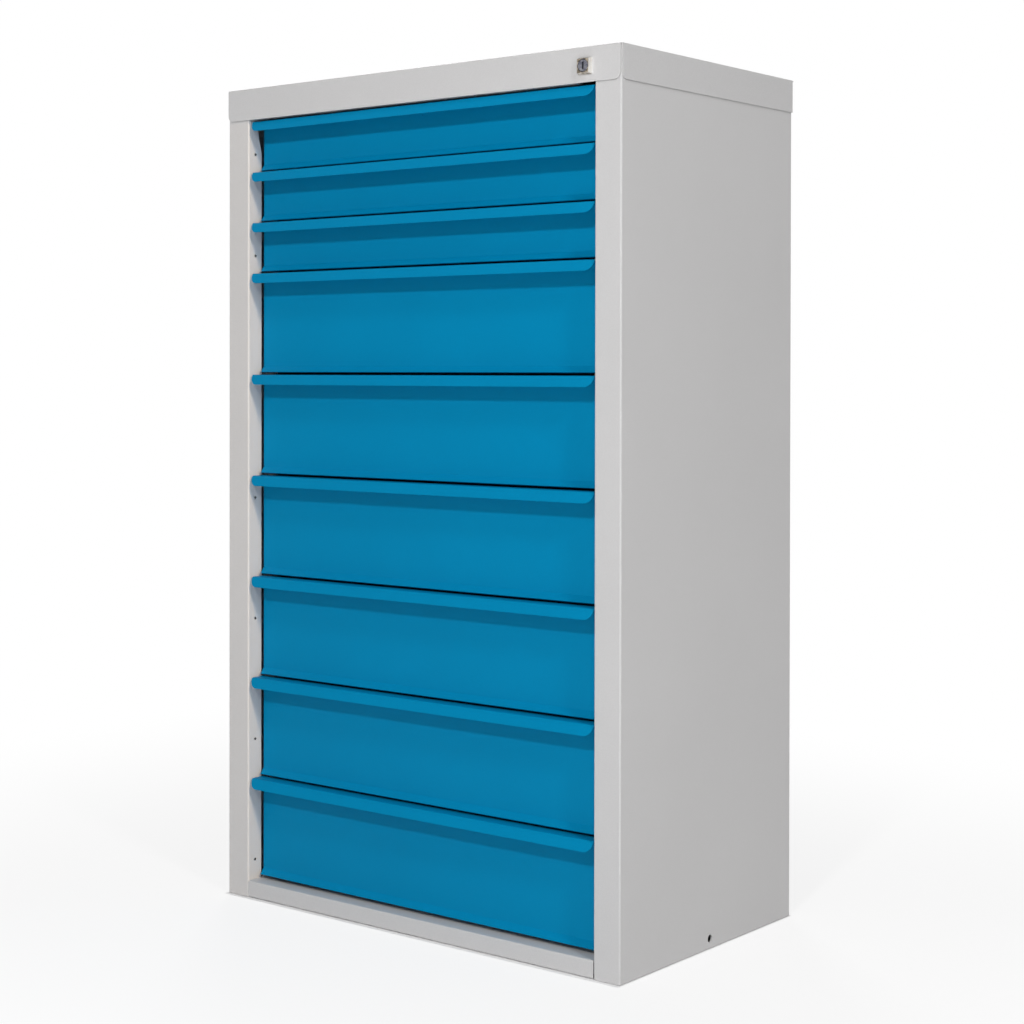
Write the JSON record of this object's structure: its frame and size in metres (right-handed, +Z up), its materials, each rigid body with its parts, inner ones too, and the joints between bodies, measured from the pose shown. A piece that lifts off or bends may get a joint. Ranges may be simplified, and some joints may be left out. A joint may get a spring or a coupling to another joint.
{
  "type": "workshop drawer cabinet",
  "caption": "Tall sheet-steel workshop cabinet with shallow and deep drawers on telescopic slides, a folded finger lip on each front and one key lock that bars all drawers.",
  "frame": {"origin": "on the floor, under the middle of the bounding box", "axes": "+Z up, drawers open towards -Y, +X to the right of a person who faces the drawers"},
  "size_m": [0.603, 0.3574, 1],
  "materials": {
    "grey_paint": "satin powder coat",
    "blue_paint": "satin powder coat",
    "zinc_plated_steel": "zinc plated",
    "chrome": "polished",
    "nickel": "satin nickel"
  },
  "bodies": {
    "cabinet": {"left_side_panel": "grey_paint", "right_side_panel": "grey_paint", "back_panel": "grey_paint", "base_panel": "grey_paint", "top_cover": "grey_paint", "front_header": "grey_paint", "front_upright_left": "zinc_plated_steel", "rear_upright_left": "zinc_plated_steel", "cabinet_slides_left": "zinc_plated_steel", "front_upright_right": "zinc_plated_steel", "rear_upright_right": "zinc_plated_steel", "cabinet_slides_right": "zinc_plated_steel", "lock_nut": "zinc_plated_steel", "bar_guides": "zinc_plated_steel", "lock_housing": "chrome"},
    "lock_plug": {"lock_cylinder": "nickel", "lock_crank": "zinc_plated_steel"},
    "locking_bar": {"locking_bar": "zinc_plated_steel", "bar_head": "zinc_plated_steel", "bar_hooks": "zinc_plated_steel"},
    "drawer_1": {"drawer_front_1": "blue_paint", "drawer_box_1": "blue_paint", "drawer_slides_1": "zinc_plated_steel"},
    "slide_middle_1": {"middle_slides_1": "zinc_plated_steel"},
    "drawer_2": {"drawer_front_2": "blue_paint", "drawer_box_2": "blue_paint", "drawer_slides_2": "zinc_plated_steel"},
    "slide_middle_2": {"middle_slides_2": "zinc_plated_steel"},
    "drawer_3": {"drawer_front_3": "blue_paint", "drawer_box_3": "blue_paint", "drawer_slides_3": "zinc_plated_steel"},
    "slide_middle_3": {"middle_slides_3": "zinc_plated_steel"},
    "drawer_4": {"drawer_front_4": "blue_paint", "drawer_box_4": "blue_paint", "drawer_slides_4": "zinc_plated_steel"},
    "slide_middle_4": {"middle_slides_4": "zinc_plated_steel"},
    "drawer_5": {"drawer_front_5": "blue_paint", "drawer_box_5": "blue_paint", "drawer_slides_5": "zinc_plated_steel"},
    "slide_middle_5": {"middle_slides_5": "zinc_plated_steel"},
    "drawer_6": {"drawer_front_6": "blue_paint", "drawer_box_6": "blue_paint", "drawer_slides_6": "zinc_plated_steel"},
    "slide_middle_6": {"middle_slides_6": "zinc_plated_steel"},
    "drawer_7": {"drawer_front_7": "blue_paint", "drawer_box_7": "blue_paint", "drawer_slides_7": "zinc_plated_steel"},
    "slide_middle_7": {"middle_slides_7": "zinc_plated_steel"},
    "drawer_8": {"drawer_front_8": "blue_paint", "drawer_box_8": "blue_paint", "drawer_slides_8": "zinc_plated_steel"},
    "slide_middle_8": {"middle_slides_8": "zinc_plated_steel"},
    "drawer_9": {"drawer_front_9": "blue_paint", "drawer_box_9": "blue_paint", "drawer_slides_9": "zinc_plated_steel"},
    "slide_middle_9": {"middle_slides_9": "zinc_plated_steel"}
  },
  "joints": [
    {"name": "lock_turn", "type": "hinge", "parent": "cabinet", "child": "lock_plug", "pos_m": [0.253, -0.17275, 0.979], "axis": [0, 1, 0], "range_deg": [0, 90]},
    {"name": "bar_slide", "type": "slide", "parent": "cabinet", "child": "locking_bar", "axis": [0, 0, -1], "range_m": [0, 0.01]},
    {"name": "drawer_1_slide", "type": "slide", "parent": "cabinet", "child": "drawer_1", "axis": [0, -1, 0], "range_m": [0, 0.29]},
    {"name": "slide_middle_1_slide", "type": "slide", "parent": "cabinet", "child": "slide_middle_1", "axis": [0, -1, 0], "range_m": [0, 0.145]},
    {"name": "drawer_2_slide", "type": "slide", "parent": "cabinet", "child": "drawer_2", "axis": [0, -1, 0], "range_m": [0, 0.29]},
    {"name": "slide_middle_2_slide", "type": "slide", "parent": "cabinet", "child": "slide_middle_2", "axis": [0, -1, 0], "range_m": [0, 0.145]},
    {"name": "drawer_3_slide", "type": "slide", "parent": "cabinet", "child": "drawer_3", "axis": [0, -1, 0], "range_m": [0, 0.29]},
    {"name": "slide_middle_3_slide", "type": "slide", "parent": "cabinet", "child": "slide_middle_3", "axis": [0, -1, 0], "range_m": [0, 0.145]},
    {"name": "drawer_4_slide", "type": "slide", "parent": "cabinet", "child": "drawer_4", "axis": [0, -1, 0], "range_m": [0, 0.29]},
    {"name": "slide_middle_4_slide", "type": "slide", "parent": "cabinet", "child": "slide_middle_4", "axis": [0, -1, 0], "range_m": [0, 0.145]},
    {"name": "drawer_5_slide", "type": "slide", "parent": "cabinet", "child": "drawer_5", "axis": [0, -1, 0], "range_m": [0, 0.29]},
    {"name": "slide_middle_5_slide", "type": "slide", "parent": "cabinet", "child": "slide_middle_5", "axis": [0, -1, 0], "range_m": [0, 0.145]},
    {"name": "drawer_6_slide", "type": "slide", "parent": "cabinet", "child": "drawer_6", "axis": [0, -1, 0], "range_m": [0, 0.29]},
    {"name": "slide_middle_6_slide", "type": "slide", "parent": "cabinet", "child": "slide_middle_6", "axis": [0, -1, 0], "range_m": [0, 0.145]},
    {"name": "drawer_7_slide", "type": "slide", "parent": "cabinet", "child": "drawer_7", "axis": [0, -1, 0], "range_m": [0, 0.29]},
    {"name": "slide_middle_7_slide", "type": "slide", "parent": "cabinet", "child": "slide_middle_7", "axis": [0, -1, 0], "range_m": [0, 0.145]},
    {"name": "drawer_8_slide", "type": "slide", "parent": "cabinet", "child": "drawer_8", "axis": [0, -1, 0], "range_m": [0, 0.29]},
    {"name": "slide_middle_8_slide", "type": "slide", "parent": "cabinet", "child": "slide_middle_8", "axis": [0, -1, 0], "range_m": [0, 0.145]},
    {"name": "drawer_9_slide", "type": "slide", "parent": "cabinet", "child": "drawer_9", "axis": [0, -1, 0], "range_m": [0, 0.29]},
    {"name": "slide_middle_9_slide", "type": "slide", "parent": "cabinet", "child": "slide_middle_9", "axis": [0, -1, 0], "range_m": [0, 0.145]}
  ],
  "couplings": [
    {"joint": "lock_turn", "follows": "bar_slide", "rad_per_m": 157.07},
    {"joint": "slide_middle_1_slide", "follows": "drawer_1_slide", "ratio": 0.5},
    {"joint": "slide_middle_2_slide", "follows": "drawer_2_slide", "ratio": 0.5},
    {"joint": "slide_middle_3_slide", "follows": "drawer_3_slide", "ratio": 0.5},
    {"joint": "slide_middle_4_slide", "follows": "drawer_4_slide", "ratio": 0.5},
    {"joint": "slide_middle_5_slide", "follows": "drawer_5_slide", "ratio": 0.5},
    {"joint": "slide_middle_6_slide", "follows": "drawer_6_slide", "ratio": 0.5},
    {"joint": "slide_middle_7_slide", "follows": "drawer_7_slide", "ratio": 0.5},
    {"joint": "slide_middle_8_slide", "follows": "drawer_8_slide", "ratio": 0.5},
    {"joint": "slide_middle_9_slide", "follows": "drawer_9_slide", "ratio": 0.5}
  ]
}
